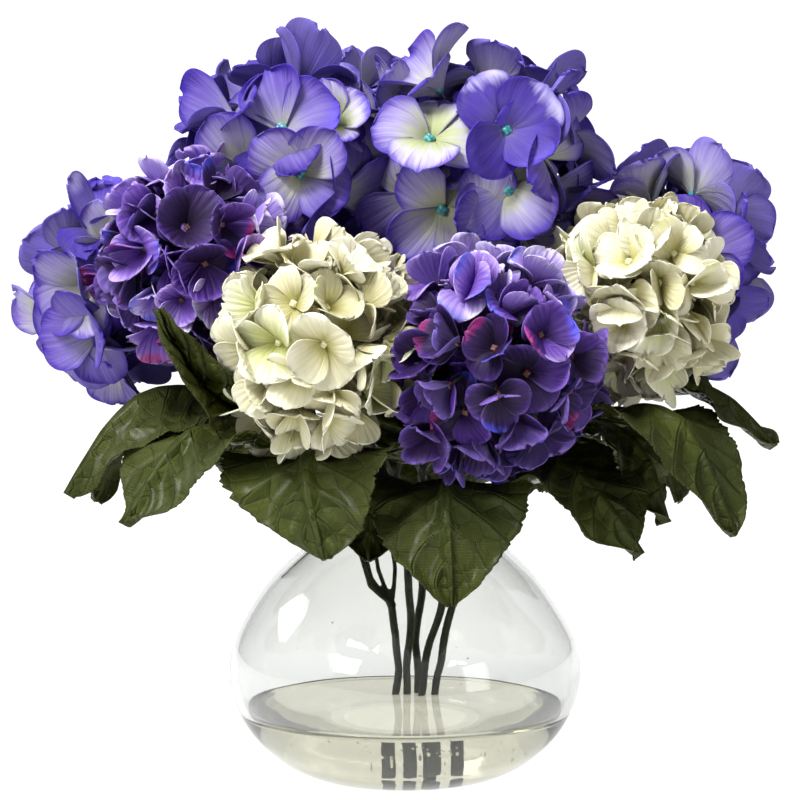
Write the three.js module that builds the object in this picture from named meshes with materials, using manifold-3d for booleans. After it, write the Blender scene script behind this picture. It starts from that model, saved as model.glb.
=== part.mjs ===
// Hydrangeas in a round glass vase, as a three.js scene graph in millimetres.
// +Z is up, the vase stands on z = 0 with its axis on the Z axis, and -Y is the front.
// Every piece is one closed solid in its own named mesh: the vase, the clear resin that
// stands for water, the stems, the leaves and the flower heads.
import * as THREE from "three";
import { mergeVertices } from "three/addons/utils/BufferGeometryUtils.js";
import Module from "manifold-3d";

const wasm = await Module();
wasm.setup();

// ---------------------------------------------------------------- driving dimensions

const GAP = 0.3; // clearance between neighbouring pieces
const CONTACT_SLACK = 0.02; // rounding allowed when a clearance is measured

// Outside of the vase from foot to lip: radius and height.
const VASE_OUTLINE = [
  [30, 0],
  [44, 3.4],
  [53, 9],
  [63, 19.5],
  [70.8, 43],
  [66.6, 60],
  [53.6, 79.6],
  [39, 93.6],
  [30, 104],
  [27.2, 108.4],
];
const VASE_SIDES = 32;
const VASE_STEPS = 15;
const WALL_AT_FOOT = 6;
const WALL_AT_LIP = 3.2;
const LIP_STEPS = 4;
const WATER_LEVEL = 28;

const STEM_RADIUS = 2.1;
const BRANCH_RADIUS = 1.4;
const STEM_SIDES = 6;
const STEM_STEP = 14; // length of one straight stretch of a stem
const FORK_SWELLING = 1.25; // size of the knot where a stem divides, against its radius

const PETIOLE_WIDTH = 2.6;
const PETIOLE_STANDOFF = 1.5; // from the side of its branch
const LEAF_THICKNESS = 1.1;
const LEAF_STEPS = 12;
const LEAF_SERRATION = 0.045; // how far alternate steps of the edge stand in and out
const LEAF_FOLD = 0.22; // rise of the leaf's edge beside its midrib, against the distance

const FLORET_THICKNESS = 1.3;
const PEDICEL_RADIUS = 0.75;
const CORE_RADIUS = 6;
const NOTCH_DEPTH = 0.66; // radius between two petals, against a petal's length
const GOLDEN_ANGLE = Math.PI * (3 - Math.sqrt(5));
const BOUQUET_HEART = new THREE.Vector3(0, 0, 118); // the heads face away from here

// A head's florets: radius and cup depth of one floret, how many, how far round the head
// they reach from the point that faces outwards, and the corners of a floret's rim.
const FLORETS = {
  small: { radius: 13.5, cup: 3.5, count: 21, reach: 1.95, rim: 8 },
  large: { radius: 25, cup: 3, count: 10, reach: 1.85, rim: 12 },
};

// ---------------------------------------------------------------- materials

const material = (color, roughness, opacity = 1) =>
  new THREE.MeshStandardMaterial({
    color,
    roughness,
    metalness: 0,
    opacity,
    transparent: opacity < 1,
  });
const MATERIALS = {
  glass: () => material(0xf2f6f5, 0.05, 0.35),
  water: () => material(0xe9e8d2, 0.04, 0.6),
  stem: () => material(0x2b3327, 0.6),
  leaf: () => material(0x3c4a22, 0.45),
  purple: () => material(0x4b2a93, 0.7),
  violet: () => material(0x6a63c4, 0.7),
  cream: () => material(0xf1efd6, 0.7),
};

// ---------------------------------------------------------------- solids

function toSolid(geometry) {
  geometry.deleteAttribute("normal");
  geometry.deleteAttribute("uv");
  const merged = mergeVertices(geometry, 1e-4);
  return new wasm.Manifold(
    new wasm.Mesh({
      numProp: 3,
      vertProperties: new Float32Array(merged.attributes.position.array),
      triVerts: new Uint32Array(merged.index.array),
    }),
  );
}

function toGeometry(solid) {
  const mesh = solid.getMesh();
  const geometry = new THREE.BufferGeometry();
  geometry.setAttribute("position", new THREE.BufferAttribute(mesh.vertProperties, 3));
  geometry.setIndex(new THREE.BufferAttribute(mesh.triVerts, 1));
  geometry.computeVertexNormals();
  return geometry;
}

const joined = (solids) => solids.reduce((whole, next) => whole.add(next));

// Moves every vertex of a geometry through place(vertex), which edits it.
function reshape(geometry, place) {
  const position = geometry.attributes.position;
  const vertex = new THREE.Vector3();
  for (let i = 0; i < position.count; i += 1) {
    place(vertex.fromBufferAttribute(position, i));
    position.setXYZ(i, vertex.x, vertex.y, vertex.z);
  }
  return geometry;
}

// ---------------------------------------------------------------- vase and water

const outline = new THREE.SplineCurve(VASE_OUTLINE.map(([r, z]) => new THREE.Vector2(r, z)));

// A point of the outline moved into the glass, square to the surface.
function insetPoint(t, depth) {
  const tangent = outline.getTangent(t);
  return outline.getPoint(t).add(new THREE.Vector2(-tangent.y, tangent.x).multiplyScalar(depth));
}

const wallAt = (t) => THREE.MathUtils.lerp(WALL_AT_FOOT, WALL_AT_LIP, Math.min(1, 3 * t));

function steps(count) {
  return Array.from({ length: count + 1 }, (_, i) => i / count);
}

function lathe(profile) {
  return new THREE.LatheGeometry(profile, VASE_SIDES).rotateX(Math.PI / 2);
}

// The inside of the vase from its floor to its lip, or a surface a gap further in.
const insideWall = (gap) => steps(VASE_STEPS).map((t) => insetPoint(t, wallAt(t) + gap));

function vaseGeometry() {
  const outside = steps(VASE_STEPS).map((t) => outline.getPoint(t));
  const inside = insideWall(0);
  const outerLip = outside.at(-1);
  const innerLip = inside.at(-1);
  const middle = outerLip.clone().lerp(innerLip, 0.5);
  const bead = outerLip.distanceTo(innerLip) / 2;
  const lean = Math.atan2(outerLip.y - middle.y, outerLip.x - middle.x);
  const lip = steps(LIP_STEPS)
    .slice(1, -1)
    .map((t) => lean + t * Math.PI)
    .map((a) => new THREE.Vector2(middle.x + bead * Math.cos(a), middle.y + bead * Math.sin(a)));
  const floor = new THREE.Vector2(0, inside[0].y);
  return lathe([new THREE.Vector2(0, 0), ...outside, ...lip, ...inside.reverse(), floor]);
}

function waterGeometry() {
  const wall = insideWall(GAP);
  const side = wall.filter((p) => p.y < WATER_LEVEL);
  const [below, above] = [side.at(-1), wall[side.length]];
  const edge = below.clone().lerp(above, (WATER_LEVEL - below.y) / (above.y - below.y));
  const floor = new THREE.Vector2(0, side[0].y);
  return lathe([floor, ...side, edge, new THREE.Vector2(0, WATER_LEVEL)]);
}

// ---------------------------------------------------------------- stems

const vectors = (points) => points.map((p) => new THREE.Vector3(...p));
const curveThrough = (points) => new THREE.CatmullRomCurve3(points, false, "centripetal");

function tube(curve, radius) {
  const section = new THREE.Shape(
    steps(STEM_SIDES)
      .slice(1)
      .map((t) => new THREE.Vector2(Math.cos(2 * Math.PI * t), Math.sin(2 * Math.PI * t)))
      .map((p) => p.multiplyScalar(radius)),
  );
  return toSolid(
    new THREE.ExtrudeGeometry(section, {
      steps: Math.max(3, Math.round(curve.getLength() / STEM_STEP)),
      bevelEnabled: false,
      extrudePath: curve,
    }),
  );
}

function knot(place) {
  const ball = new THREE.SphereGeometry(STEM_RADIUS * FORK_SWELLING, STEM_SIDES, 4);
  return toSolid(ball.translate(place.x, place.y, place.z));
}

// Each stem runs from its foot in the resin to the fork where it divides.
const STEMS = {
  stem_left: [
    [-4.2, 25.7, 24],
    [-4, 25, 28],
    [-2.4, 21, 46],
    [-6, 13, 67],
  ],
  stem_middle: [
    [0.9, 26.4, 24],
    [0.8, 25.5, 28],
    [1.6, 14, 52],
    [2, 2, 78],
    [-1, -6, 104],
    [-3, -12, 119],
  ],
  stem_back: [
    [5.4, 29.2, 24],
    [5.6, 28.5, 28],
    [5, 21, 52],
    [7, 13, 80],
    [7, 10, 106],
    [7, 13, 120],
  ],
  stem_right: [
    [6.7, 22.7, 24],
    [6.6, 22.2, 28],
    [10.3, 15, 50],
    [16, 3, 76],
    [17, -8, 106],
    [20, -14, 119],
  ],
  stem_far_right: [
    [12.2, 24.9, 24],
    [12, 24.5, 28],
    [16, 12, 52],
    [21.2, 4, 76],
    [20.2, 2, 106],
    [26, 4, 118],
  ],
};

// Each branch goes on from a fork through the listed places to the head it carries.
const BRANCHES = {
  head_purple_left: { stem: "stem_left", through: [[-16, 6, 78], [-19, -6, 107], [-38, -24, 145]] },
  head_violet_left: { stem: "stem_left", through: [[-15, 9, 80], [-20, 3, 107], [-55, 3, 148]] },
  head_purple_back_left: { stem: "stem_left", through: [[-12, 13, 84], [-14, 15, 107], [-34, 30, 146]] },
  head_violet_top_left: { stem: "stem_left", through: [[-4, 13, 84], [-7, 5, 107], [-20, 2, 165]] },
  head_cream_left: { stem: "stem_middle", through: [[-14, -32, 142]] },
  head_violet_top_right: { stem: "stem_middle", through: [[4, -16, 165]] },
  head_violet_top_back: { stem: "stem_back", through: [[4, 24, 170]] },
  head_cream_back: { stem: "stem_back", through: [[-3, 36, 142]] },
  head_violet_back: { stem: "stem_back", through: [[19, 33, 144]] },
  head_purple_right: { stem: "stem_right", through: [[26, -34, 138]] },
  head_cream_right: { stem: "stem_right", through: [[46, -25, 146]] },
  head_violet_right: { stem: "stem_far_right", through: [[58, 5, 148]] },
  head_cream_back_right: { stem: "stem_far_right", through: [[44, 22, 142]] },
};

// ---------------------------------------------------------------- flower heads

// The heads, front ones first: middle, half-size each way out to the florets' middles,
// kind of floret and colour.
const HEADS = {
  head_cream_left: { at: [-32, -74, 178], half: [31, 33, 37], kind: "small", color: "cream" },
  head_purple_right: { at: [33, -78, 171], half: [37, 35, 39], kind: "small", color: "purple" },
  head_purple_left: { at: [-79, -45, 207], half: [33, 32, 33], kind: "small", color: "purple" },
  head_cream_right: { at: [93, -44, 194], half: [29, 31, 35], kind: "small", color: "cream" },
  head_violet_top_right: { at: [34, -14, 248], half: [42, 38, 40], kind: "large", color: "violet" },
  head_violet_top_left: { at: [-44, -6, 246], half: [42, 37, 38], kind: "large", color: "violet" },
  head_violet_left: { at: [-112, 4, 193], half: [33, 34, 32], kind: "large", color: "violet" },
  head_violet_right: { at: [110, 8, 212], half: [31, 34, 37], kind: "large", color: "violet" },
  head_violet_top_back: { at: [-4, 54, 244], half: [42, 37, 36], kind: "large", color: "violet" },
  head_purple_back_left: { at: [-76, 62, 200], half: [33, 33, 33], kind: "small", color: "purple" },
  head_violet_back: { at: [44, 84, 194], half: [37, 34, 34], kind: "large", color: "violet" },
  head_cream_back: { at: [-18, 88, 186], half: [32, 31, 34], kind: "small", color: "cream" },
  head_cream_back_right: { at: [92, 58, 186], half: [30, 30, 32], kind: "small", color: "cream" },
};

const middleOf = (head) => new THREE.Vector3(...head.at);
const facingOf = (head) => middleOf(head).sub(BOUQUET_HEART).normalize();

function branchCurve(name) {
  const { stem, through } = BRANCHES[name];
  const head = HEADS[name];
  const end = middleOf(head).addScaledVector(facingOf(head), -CORE_RADIUS - GAP);
  return curveThrough(vectors([STEMS[stem].at(-1), ...through, end.toArray()]));
}

function stemSolid(name) {
  const places = vectors(STEMS[name]);
  const branches = Object.keys(BRANCHES).filter((head) => BRANCHES[head].stem === name);
  return joined([
    tube(curveThrough(places), STEM_RADIUS),
    knot(places.at(-1)),
    ...branches.map((head) => tube(branchCurve(head), BRANCH_RADIUS)),
  ]);
}

// Four broad petals as one thin cupped disc with a notch between each two, facing +Y, on
// a pedicel that reaches down to the middle of the head.
function floretSolid({ radius, cup, rim }, reach) {
  const disc = new THREE.SphereGeometry(1, rim, 2);
  reshape(disc, (v) => {
    const corner = Math.round((Math.atan2(v.z, v.x) * rim) / (2 * Math.PI));
    const isRim = Math.abs(v.y) < 0.5;
    const length = isRim && corner % (rim / 4) === 0 ? radius * NOTCH_DEPTH : radius;
    v.set(v.x * length, isRim ? cup : (v.y * FLORET_THICKNESS) / 2, v.z * length);
  });
  const pedicel = new THREE.CylinderGeometry(PEDICEL_RADIUS, PEDICEL_RADIUS, reach, 3);
  return toSolid(disc).add(toSolid(pedicel.translate(0, -reach / 2, 0)));
}

// Directions spread evenly over the part of a sphere within reach of its pole, +Y.
function spreadOverCap(count, reach) {
  return Array.from({ length: count }, (_, i) => {
    const height = 1 - ((1 - Math.cos(reach)) * (i + 0.4)) / count;
    const around = i * GOLDEN_ANGLE;
    const level = Math.sqrt(1 - height * height);
    return new THREE.Vector3(level * Math.cos(around), height, level * Math.sin(around));
  });
}

const UP = new THREE.Vector3(0, 1, 0);

function floretsOf(head) {
  const kind = FLORETS[head.kind];
  const turn = new THREE.Quaternion().setFromUnitVectors(UP, facingOf(head));
  return spreadOverCap(kind.count, kind.reach).map((direction, i) => {
    const out = direction.applyQuaternion(turn);
    const place = out.clone().multiply(new THREE.Vector3(...head.half));
    const stand = new THREE.Quaternion().setFromUnitVectors(UP, place.clone().normalize());
    const spin = new THREE.Quaternion().setFromAxisAngle(UP, i);
    const matrix = new THREE.Matrix4().compose(
      middleOf(head).add(place),
      stand.multiply(spin),
      new THREE.Vector3(1, 1, 1),
    );
    return floretSolid(kind, place.length()).transform(matrix.elements);
  });
}

function isClear(solid, others) {
  return others.every((other) => solid.minGap(other, GAP) > GAP - CONTACT_SLACK);
}

// A head keeps the florets that clear every piece made before it.
function headSolid(head, others) {
  const core = new THREE.IcosahedronGeometry(CORE_RADIUS, 0);
  const middle = toSolid(core.translate(...head.at));
  return joined([middle, ...floretsOf(head).filter((floret) => isClear(floret, others))]);
}

// ---------------------------------------------------------------- leaves

// Each leaf grows from a branch, part of the way along it, on a petiole to its base, and
// its blade bends over its middle down to its tip. A roll turns it about its own length.
const LEAVES = {
  leaf_front: {
    on: "head_purple_right",
    along: 0.22,
    base: [18, -46, 122],
    middle: [15, -76, 118],
    tip: [17, -90, 86],
    width: 46,
  },
  leaf_front_left: {
    on: "head_cream_left",
    along: 0.42,
    base: [-22, -48, 134],
    middle: [-36, -78, 131],
    tip: [-31, -97, 104],
    width: 52,
    roll: 0.1,
  },
  leaf_front_right: {
    on: "head_purple_right",
    along: 0.4,
    base: [42, -42, 132],
    middle: [64, -64, 124],
    tip: [86, -74, 102],
    width: 46,
    roll: 0.1,
  },
  leaf_small: {
    on: "head_cream_left",
    along: 0.2,
    base: [-9, -32, 124],
    middle: [-13, -47, 116],
    tip: [-14, -60, 97],
    width: 32,
  },
  leaf_left: {
    on: "head_purple_left",
    along: 0.66,
    base: [-56, -40, 142],
    middle: [-82, -64, 138],
    tip: [-102, -80, 114],
    width: 46,
    roll: -0.1,
  },
  leaf_left_upright: {
    on: "head_purple_left",
    along: 0.76,
    base: [-60, -56, 152],
    middle: [-76, -80, 164],
    tip: [-90, -90, 188],
    width: 24,
    roll: 1.2,
  },
  leaf_far_left: {
    on: "head_violet_left",
    along: 0.66,
    base: [-74, -20, 156],
    middle: [-102, -36, 150],
    tip: [-128, -44, 122],
    width: 42,
  },
  leaf_right_low: {
    on: "head_cream_right",
    along: 0.34,
    base: [66, -20, 144],
    middle: [88, -32, 134],
    tip: [100, -38, 110],
    width: 32,
  },
  leaf_right: {
    on: "head_cream_right",
    along: 0.62,
    base: [74, -44, 150],
    middle: [100, -68, 145],
    tip: [121, -78, 110],
    width: 48,
  },
  leaf_far_right: {
    on: "head_violet_right",
    along: 0.66,
    base: [92, -14, 160],
    middle: [122, -26, 152],
    tip: [141, -28, 138],
    width: 38,
  },
  leaf_back_right: {
    on: "head_cream_back_right",
    along: 0.5,
    base: [74, 36, 140],
    middle: [98, 62, 132],
    tip: [116, 74, 106],
    width: 48,
  },
  leaf_back_middle: {
    on: "head_violet_back",
    along: 0.5,
    base: [32, 54, 136],
    middle: [44, 86, 132],
    tip: [50, 108, 104],
    width: 50,
  },
  leaf_back: {
    on: "head_cream_back",
    along: 0.5,
    base: [-10, 52, 132],
    middle: [-16, 84, 126],
    tip: [-18, 102, 96],
    width: 48,
  },
  leaf_back_left: {
    on: "head_purple_back_left",
    along: 0.66,
    base: [-54, 44, 142],
    middle: [-78, 74, 136],
    tip: [-94, 92, 110],
    width: 48,
  },
  leaf_side_left: {
    on: "head_violet_left",
    along: 0.5,
    base: [-68, 16, 146],
    middle: [-102, 26, 140],
    tip: [-126, 34, 112],
    width: 42,
  },
  leaf_inner_left: {
    on: "head_purple_left",
    along: 0.3,
    base: [-33, -14, 132],
    middle: [-53, -17, 138],
    tip: [-80, -12, 138],
    width: 36,
    roll: 1.2,
  },
  leaf_inner_right: {
    on: "head_cream_right",
    along: 0.16,
    base: [34, -15, 131],
    middle: [54, -16, 138],
    tip: [75, -10, 137],
    width: 34,
    roll: -1.2,
  },
  leaf_inner_front: {
    on: "head_violet_top_right",
    along: 0.1,
    base: [9, -24, 130],
    middle: [10, -30, 147],
    tip: [10, -33, 168],
    width: 34,
  },
  leaf_inner_back: {
    on: "head_violet_back",
    along: 0.3,
    base: [15, 36, 126],
    middle: [14, 53, 118],
    tip: [13, 66, 99],
    width: 40,
  },
  leaf_inner_side: {
    on: "head_violet_right",
    along: 0.4,
    base: [56, 12, 134],
    middle: [76, 19, 126],
    tip: [90, 24, 107],
    width: 36,
  },
};

// Width of the blade a share of the way from its base to its tip, against its greatest.
const bladeShape = (share) => Math.pow(Math.sin(Math.PI * Math.pow(share, 0.72)), 0.75);

function leafSolid({ on, along, base, middle, tip, width, roll = 0 }) {
  const [foot, bend, end] = vectors([base, middle, tip]);
  const branch = branchCurve(on);
  const joint = branch.getPointAt(along);
  const away = foot.clone().sub(joint).projectOnPlane(branch.getTangentAt(along)).normalize();
  const start = joint.addScaledVector(away, BRANCH_RADIUS + PETIOLE_STANDOFF);
  const spine = curveThrough([start, foot, bend, end]);
  const bladeStart = start.distanceTo(foot) / spine.getLength();
  const heading = end.clone().sub(foot).normalize();
  const across = new THREE.Vector3(heading.y, -heading.x, 0).normalize().applyAxisAngle(heading, roll);
  const blade = new THREE.BoxGeometry(1, 1, 1, 2, LEAF_STEPS, 1);
  reshape(blade, (v) => {
    const t = v.y + 0.5;
    const share = THREE.MathUtils.clamp((t - bladeStart) / (1 - bladeStart), 0, 1);
    const serration = 1 + LEAF_SERRATION * (Math.round(t * LEAF_STEPS) % 2 ? 1 : -1);
    const reach = Math.max(PETIOLE_WIDTH, width * bladeShape(share) * serration);
    const tangent = spine.getTangentAt(t);
    const normal = new THREE.Vector3().crossVectors(across, tangent).normalize();
    const side = v.x * reach;
    const rise = v.z * LEAF_THICKNESS + LEAF_FOLD * Math.abs(side) * Math.min(1, 3 * share);
    v.copy(spine.getPointAt(t)).addScaledVector(across, side).addScaledVector(normal, rise);
  });
  return toSolid(blade);
}

// ---------------------------------------------------------------- the whole object

const pieces = new THREE.Group();

function addPiece(name, geometry, look) {
  const mesh = new THREE.Mesh(geometry, MATERIALS[look]());
  mesh.name = name;
  pieces.add(mesh);
}

// The hole that a stem leaves in the resin, a gap wider all round and under its foot.
function stemHole(name) {
  const places = vectors(STEMS[name]);
  places[0].z -= GAP;
  return tube(curveThrough(places), (STEM_RADIUS + GAP) / Math.cos(Math.PI / STEM_SIDES));
}

const stemNames = Object.keys(STEMS);
const resin = toSolid(waterGeometry());
const water = stemNames.map(stemHole).reduce((rest, hole) => rest.subtract(hole), resin);
addPiece("vase", vaseGeometry(), "glass");
addPiece("water", toGeometry(water), "water");

const placed = [];
function addSolid(name, solid, look) {
  placed.push(solid);
  addPiece(name, toGeometry(solid), look);
}
stemNames.forEach((name) => addSolid(name, stemSolid(name), "stem"));
Object.entries(LEAVES).forEach(([name, leaf]) => addSolid(name, leafSolid(leaf), "leaf"));
Object.entries(HEADS).forEach(([name, head]) => addSolid(name, headSolid(head, placed), head.color));

export default pieces;
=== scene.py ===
"""Hydrangeas in a round glass vase: the looks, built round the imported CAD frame.

Units are metres in the CAD frame: +Z is up, the vase stands on z = 0 and -Y is the front.
Each flower head is laid out on the box of its CAD node, each leaf follows the rows of its
CAD plate, the stems are rounded copies of the CAD stems, and the glass and resin are turned
from one outline scaled to the CAD vase.
"""

import math

import bpy
import numpy as np
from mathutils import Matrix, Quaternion, Vector
from mathutils.bvhtree import BVHTree


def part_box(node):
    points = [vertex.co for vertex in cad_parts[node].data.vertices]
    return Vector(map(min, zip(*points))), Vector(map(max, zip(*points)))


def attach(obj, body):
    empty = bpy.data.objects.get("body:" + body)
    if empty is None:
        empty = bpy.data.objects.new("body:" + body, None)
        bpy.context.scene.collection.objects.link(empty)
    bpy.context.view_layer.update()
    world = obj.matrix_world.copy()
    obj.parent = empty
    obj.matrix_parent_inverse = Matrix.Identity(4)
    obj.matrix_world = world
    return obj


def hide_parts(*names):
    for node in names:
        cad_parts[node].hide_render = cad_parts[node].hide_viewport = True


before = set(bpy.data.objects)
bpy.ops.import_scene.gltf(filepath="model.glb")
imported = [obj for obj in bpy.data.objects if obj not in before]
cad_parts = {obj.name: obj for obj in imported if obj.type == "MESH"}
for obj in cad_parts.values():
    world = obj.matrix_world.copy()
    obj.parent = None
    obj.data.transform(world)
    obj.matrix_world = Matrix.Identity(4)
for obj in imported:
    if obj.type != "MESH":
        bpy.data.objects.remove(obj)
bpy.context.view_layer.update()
MM = 0.001
GOLDEN_ANGLE = math.pi * (3 - math.sqrt(5))
UP = Vector((0, 0, 1))
BOUQUET_HEART = Vector((0, 0, 118)) * MM  # the heads face away from here


def add_object(name, data):
    """A new object in the scene."""
    obj = bpy.data.objects.new(name, data)
    bpy.context.scene.collection.objects.link(obj)
    return obj


# -------- camera, stage and light

CAMERA_AT = Vector((-2, -1042, 225)) * MM
CAMERA_TILT_DOWN = math.radians(4.03)
CAMERA_VIEW_ANGLE = math.radians(17.4593)

FLOOR_HALF_WIDTH = 3.5
BACKDROP_HALF_WIDTH = 1.0
BACKDROP_START = 1.1  # how far behind the vase the backdrop starts to sweep up
BACKDROP_BEND = 1.2  # radius of its sweep
BACKDROP_HEIGHT = 3.0
BACKDROP_POINTS = 25
STAGE_GLOW = 0.86  # the floor and the backdrop are softly lit, and painted light in the vase's shadow: the floor glows more under it
PAINTED_LIGHT_UNDER_VASE = 0.2  # the floor a little more under the vase
PAINTED_LIGHT_UNDER_VASE_REACH = (0.16, 0.02)

WORLD_COLOUR = (0.97, 0.98, 1.0, 1)
WORLD_SEEN = 1.0  # how bright the world is to the eye and through glass
WORLD_LIGHT = 0.14  # how strongly it lights the bouquet

BOUQUET_MIDDLE = (0, 0, 0.17)
BACKDROP_MIDDLE = (0, 2.6, 0.5)
# Where each lamp hangs, what it points at, its width and height, and its power in watts.
LAMPS = {
    "key": ((-0.5, -0.72, 1.3), BOUQUET_MIDDLE, 0.5, 0.5, 29),
    "front": ((-0.8, -1.0, 0.7), BOUQUET_MIDDLE, 0.3, 0.5, 6.5),
    "fill": ((1.2, -1.1, 0.5), BOUQUET_MIDDLE, 0.5, 0.9, 4.5),
    "top": ((0.1, 0.2, 1.3), BOUQUET_MIDDLE, 0.6, 0.6, 7),
    "side": ((-0.95, 0.4, 0.9), BOUQUET_MIDDLE, 0.5, 0.6, 4.5),
    "backdrop": ((0, 0.9, 2.2), BACKDROP_MIDDLE, 2.2, 0.6, 16),
}


def make_camera():
    data = bpy.data.cameras.new("camera")
    data.angle = CAMERA_VIEW_ANGLE
    camera = add_object("camera", data)
    camera.location = CAMERA_AT
    camera.rotation_euler = (math.pi / 2 - CAMERA_TILT_DOWN, 0, 0)
    bpy.context.scene.camera = camera


def make_lamp(name, place, aim, width, height, power):
    data = bpy.data.lights.new(name, "AREA")
    data.shape = "RECTANGLE"
    data.size = width
    data.size_y = height
    data.energy = power
    lamp = add_object(name, data)
    lamp.location = place
    lamp.rotation_euler = (Vector(aim) - Vector(place)).to_track_quat("-Z", "Y").to_euler()


def make_world():
    """A white studio to the eye and through glass, which lights the bouquet only dimly."""
    world = bpy.data.worlds.new("studio")
    world.use_nodes = True
    nodes, links = world.node_tree.nodes, world.node_tree.links
    path = nodes.new("ShaderNodeLightPath")
    seen = nodes.new("ShaderNodeMath")
    seen.operation = "MAXIMUM"
    links.new(path.outputs["Is Camera Ray"], seen.inputs[0])
    links.new(path.outputs["Is Transmission Ray"], seen.inputs[1])
    strength = nodes.new("ShaderNodeMapRange")
    strength.inputs["To Min"].default_value = WORLD_LIGHT
    strength.inputs["To Max"].default_value = WORLD_SEEN
    links.new(seen.outputs[0], strength.inputs["Value"])
    background = nodes["Background"]
    background.inputs["Color"].default_value = WORLD_COLOUR
    links.new(strength.outputs["Result"], background.inputs["Strength"])
    bpy.context.scene.world = world
    bpy.context.scene.view_settings.view_transform = "Standard"


# -------- shader graphs


def linear(hex_colour):
    """A colour such as "#3a4a12" as linear light, with alpha 1."""
    parts = [int(hex_colour[i:i + 2], 16) / 255 for i in (1, 3, 5)]
    return [p / 12.92 if p <= 0.04045 else ((p + 0.055) / 1.055) ** 2.4 for p in parts] + [1]


class Wire:
    """What comes out of a shader node. Arithmetic with wires adds the nodes that work it out."""

    def __init__(self, graph, socket):
        self.graph, self.socket = graph, socket

    def __add__(self, other):
        return self.graph.math("ADD", self, other)

    def __sub__(self, other):
        return self.graph.math("SUBTRACT", self, other)

    def __rsub__(self, other):
        return self.graph.math("SUBTRACT", other, self)

    def __mul__(self, other):
        return self.graph.math("MULTIPLY", self, other)

    def __truediv__(self, other):
        return self.graph.math("DIVIDE", self, other)

    def __pow__(self, other):
        return self.graph.math("POWER", self, other)

    def __abs__(self):
        return self.graph.math("ABSOLUTE", self)

    __radd__ = __add__
    __rmul__ = __mul__


class Graph:
    """A material with one Principled shader, and short calls that add nodes to it."""

    def __init__(self, name):
        self.material = bpy.data.materials.new(name)
        self.material.use_nodes = True
        self.tree = self.material.node_tree
        self.shader = self.tree.nodes["Principled BSDF"]

    def put(self, socket, value):
        """Links value to a socket if it is a wire, or sets it there."""
        if isinstance(value, Wire):
            self.tree.links.new(value.socket, socket)
        else:
            socket.default_value = value

    def set(self, **inputs):
        for name, value in inputs.items():
            self.put(self.shader.inputs[name.replace("_", " ")], value)

    def node(self, kind, inputs=(), output=0, **settings):
        """Adds a node, and gives the wire from one of its outputs."""
        made = self.tree.nodes.new(kind)
        for name, value in settings.items():
            setattr(made, name, value)
        for key, value in dict(inputs).items():
            self.put(made.inputs[key], value)
        return Wire(self, made.outputs[output])

    def math(self, operation, *values):
        return self.node("ShaderNodeMath", enumerate(values), operation=operation)

    def step(self, value, low, high):
        """A smooth rise from 0 to 1 as value goes from low to high."""
        inputs = {"Value": value, "From Min": low, "From Max": high}
        return self.node("ShaderNodeMapRange", inputs, interpolation_type="SMOOTHSTEP")

    def ramp(self, value, stops):
        made = self.tree.nodes.new("ShaderNodeValToRGB")
        self.put(made.inputs["Fac"], value)
        elements = made.color_ramp.elements
        for place, _ in stops[2:]:
            elements.new(place)
        for element, (place, colour) in zip(elements, sorted(stops)):
            element.position = place
            element.color = linear(colour)
        return Wire(self, made.outputs["Color"])

    def mix(self, share, first, second):
        return self.node("ShaderNodeMix", {"Factor": share, 6: first, 7: second}, 2, data_type="RGBA")

    def noise(self, place, scale, detail):
        return self.node("ShaderNodeTexNoise", {"Vector": place, "Scale": scale, "Detail": detail}, "Fac")

    def cells(self, place, scale):
        """How far a point is from the edge of its cell in a net of cells."""
        inputs = {"Vector": place, "Scale": scale}
        return self.node("ShaderNodeTexVoronoi", inputs, feature="DISTANCE_TO_EDGE")

    def object_place(self):
        return self.node("ShaderNodeTexCoord", output="Object")

    def uv(self):
        """The two parts of a surface point's UV."""
        place = self.node("ShaderNodeUVMap", uv_map=UV_NAME)
        return [self.node("ShaderNodeSeparateXYZ", {"Vector": place}, part) for part in "XY"]

    def point(self, x, y, z=0.0):
        return self.node("ShaderNodeCombineXYZ", {"X": x, "Y": y, "Z": z})

    def bump(self, height, distance, strength=1.0):
        return self.node("ShaderNodeBump", {"Height": height, "Distance": distance, "Strength": strength})

    def atlas(self, columns, rows):
        """Where a surface point is in its atlas cell: across and along from 0 to 1, and the cell."""
        found = []
        for part, cells in zip(self.uv(), (columns, rows)):
            scaled = part * cells
            cell = self.math("FLOOR", scaled)
            found += [(scaled - cell - CELL_MARGIN) / (1 - 2 * CELL_MARGIN), cell]
        return found[0], found[2], found[1], found[3]


# -------- petal materials

UV_NAME = "OFBake"
CELL_MARGIN = 0.03
PETAL_COLUMNS = 4  # plain, two with a tinted tip, and the petal's underside
PETAL_ROWS = 4  # tones from deep to light
UNDERSIDE_COLUMN = 3

WIDEST = 0.56  # where a petal is widest, from its claw at 0 to its tip at 1
BELOW_WIDEST = 0.62  # how far from there it closes, towards its claw
ABOVE_WIDEST = 0.44  # and towards its tip
ROUNDNESS = 2.3

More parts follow.
